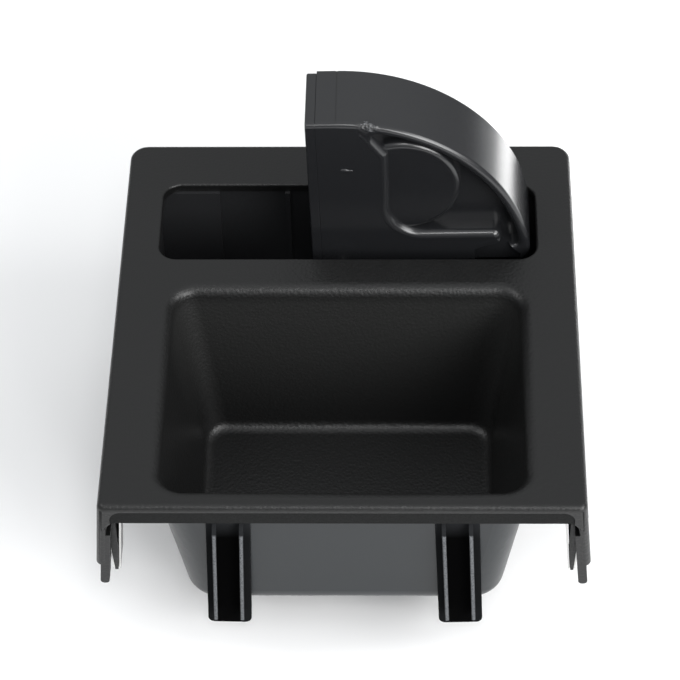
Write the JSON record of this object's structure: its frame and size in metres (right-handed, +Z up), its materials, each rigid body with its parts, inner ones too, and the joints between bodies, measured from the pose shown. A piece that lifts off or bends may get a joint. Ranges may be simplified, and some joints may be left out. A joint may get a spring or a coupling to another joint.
{
  "type": "car cup holder",
  "caption": "Drop-in console cup holder: a tray with a deep rounded bin, and behind it a slot with a sprung quarter-disc arm that flips up to steady a cup.",
  "frame": {"origin": "on the tray's top surface, midway across and 68 mm behind the front edge, in the plane of the console around it", "axes": "+X across the car to the right as seen from the front edge, +Y from the bin to the arm, +Z up out of the console"},
  "size_m": [0.1286, 0.1373, 0.108],
  "materials": {
    "grained_plastic": "fine moulded grain, matte black",
    "satin_plastic": "smooth satin black",
    "steel": "zinc plated, satin",
    "spring_steel": "bright spring steel"
  },
  "bodies": {
    "tray": {"tray": "grained_plastic", "arm_housing": "satin_plastic", "pivot_pin": "steel", "pivot_spacer": "satin_plastic", "pin_retainer": "spring_steel", "torsion_spring": "spring_steel", "catch_spring": "spring_steel", "catch_rivets": "steel", "housing_screws": "steel", "spring_clip_left": "spring_steel", "spring_clip_right": "spring_steel"},
    "arm": {"support_arm": "satin_plastic", "arm_cover": "satin_plastic"}
  },
  "joints": [
    {"name": "arm_flip", "type": "hinge", "parent": "tray", "child": "arm", "pos_m": [-0.0015, 0.0394, -0.0083], "axis": [0, 1, 0], "range_deg": [0, 91.1], "stiffness_Nm_per_rad": 0.03, "springref_deg": -57.3, "deforming": ["torsion_spring", "catch_spring"]}
  ]
}
